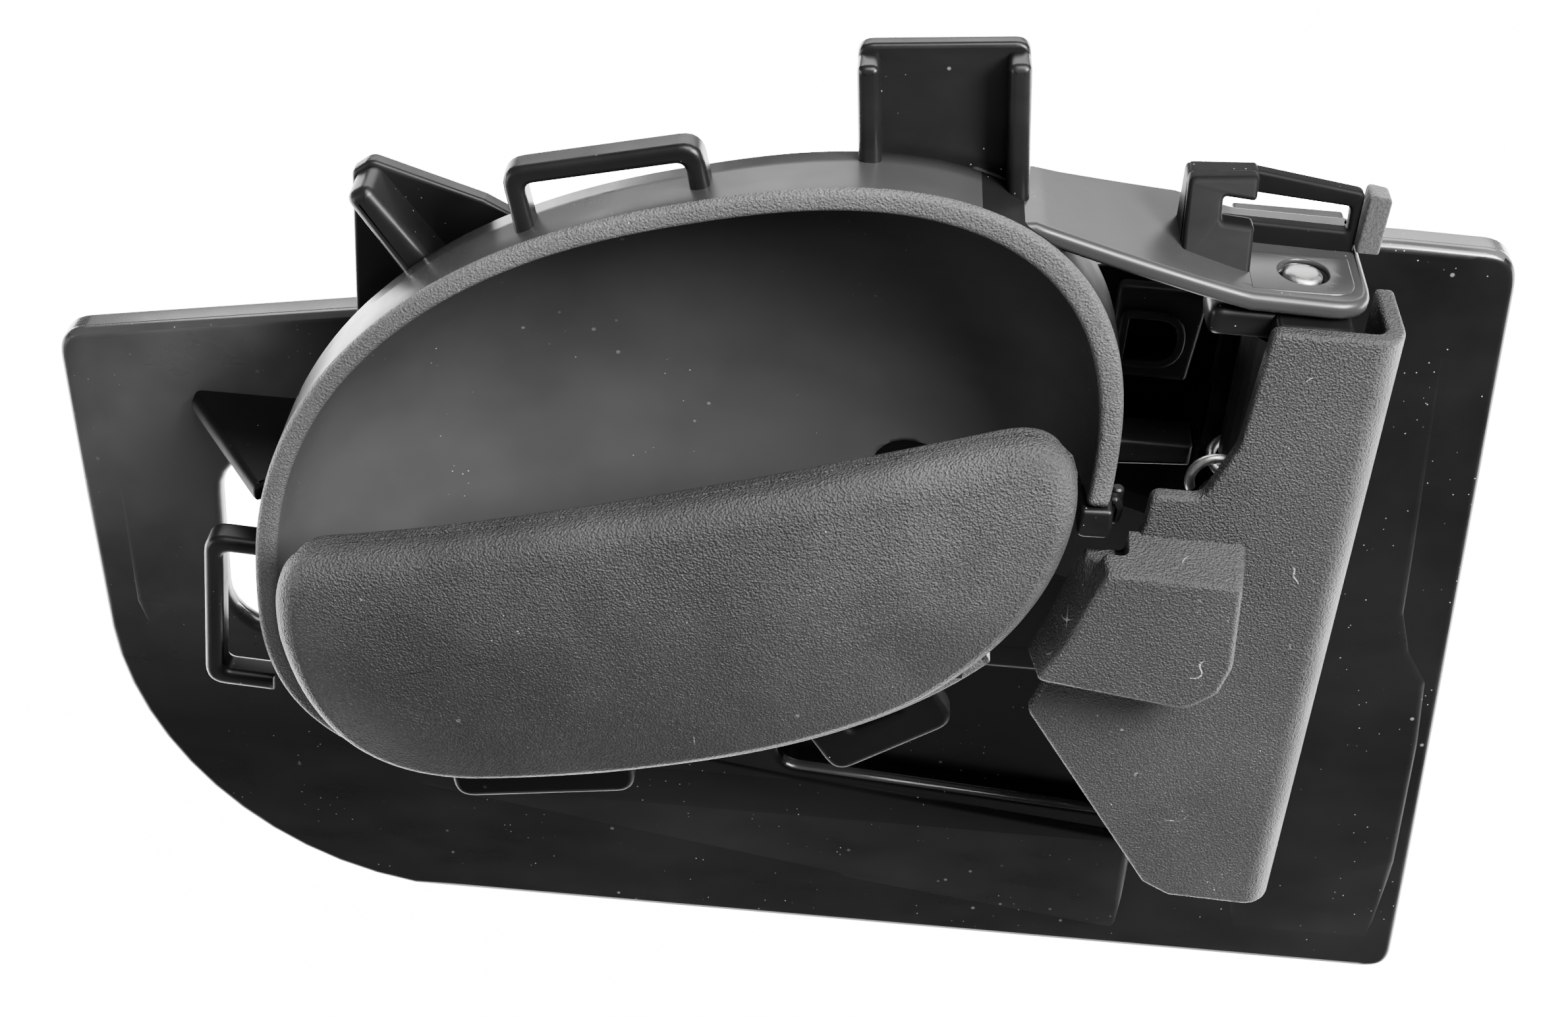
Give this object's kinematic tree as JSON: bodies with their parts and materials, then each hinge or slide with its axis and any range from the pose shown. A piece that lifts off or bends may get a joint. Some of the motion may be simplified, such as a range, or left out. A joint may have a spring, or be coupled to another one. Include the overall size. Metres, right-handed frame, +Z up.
{
  "type": "car inner door handle",
  "caption": "Inner door handle unit of a car: moulded plate with an oval finger cup, a grained pull lever and a small lock lever that share one upright steel pin.",
  "frame": {"origin": "on the rear seat pad of the plate, where the unit rests on the door", "axes": "+X to the right as the occupant sees it, -Y out of the door towards the occupant, +Z up along the pivot pin"},
  "size_m": [0.1699, 0.0486, 0.1341],
  "materials": {
    "gloss_black": "moulded, glossy",
    "grain_black": "fine leather-like grain",
    "natural_plastic": "natural acetal",
    "rubber": "matte",
    "felt": "woven tape",
    "pin_steel": "drawn wire, cut end",
    "spring_steel": "spring wire"
  },
  "bodies": {
    "housing": {"back_plate": "gloss_black", "finger_cup": "grain_black", "upper_pivot_lug": "gloss_black", "lower_pivot_bracket": "gloss_black", "top_tab": "gloss_black", "corner_bracket": "gloss_black", "side_gusset": "gloss_black", "slotted_clip_box": "gloss_black", "clip_box_pad": "felt", "rim_end_clip": "gloss_black", "trim_loop_top": "gloss_black", "trim_loop_left": "gloss_black", "trim_loop_bottom": "gloss_black", "trim_loop_corner": "gloss_black", "pivot_pin": "pin_steel", "pin_retaining_ring": "spring_steel", "handle_return_spring": "spring_steel", "handle_stop_bumper": "rubber", "lock_stop_bumper": "rubber", "lock_detent_spring": "spring_steel", "cable_anchor_clip": "natural_plastic", "thrust_washer": "natural_plastic"},
    "pull": {"pull_lever": "grain_black", "grip_shell": "grain_black", "pivot_bush_upper": "natural_plastic", "pivot_bush_lower": "natural_plastic"},
    "swivel": {"cable_swivel": "pin_steel"},
    "lock": {"lock_lever": "grain_black", "lock_pad": "grain_black"},
    "rod_clip": {"lock_rod_clip": "natural_plastic"}
  },
  "joints": [
    {"name": "handle_pull", "type": "hinge", "parent": "housing", "child": "pull", "pos_m": [0.0504, -0.023, 0], "axis": [0, 0, 1], "range_deg": [0, 30], "stiffness_Nm_per_rad": 0.35, "springref_deg": -28.65, "deforming": ["handle_return_spring"]},
    {"name": "lock_toggle", "type": "hinge", "parent": "housing", "child": "lock", "pos_m": [0.0504, -0.023, 0], "axis": [0, 0, 1], "range_deg": [-10, 0]},
    {"name": "cable_swivel_turn", "type": "hinge", "parent": "pull", "child": "swivel", "pos_m": [0.05713, 0.00211, 0.0045], "axis": [0, 0, 1], "range_deg": [-31, 1]},
    {"name": "rod_clip_turn", "type": "hinge", "parent": "lock", "child": "rod_clip", "pos_m": [0.0504, -0.0115, -0.008], "axis": [0, 0, 1], "range_deg": [-1, 11]}
  ],
  "couplings": [
    {"joint": "cable_swivel_turn", "follows": "handle_pull", "ratio": -1},
    {"joint": "rod_clip_turn", "follows": "lock_toggle", "ratio": -1}
  ]
}
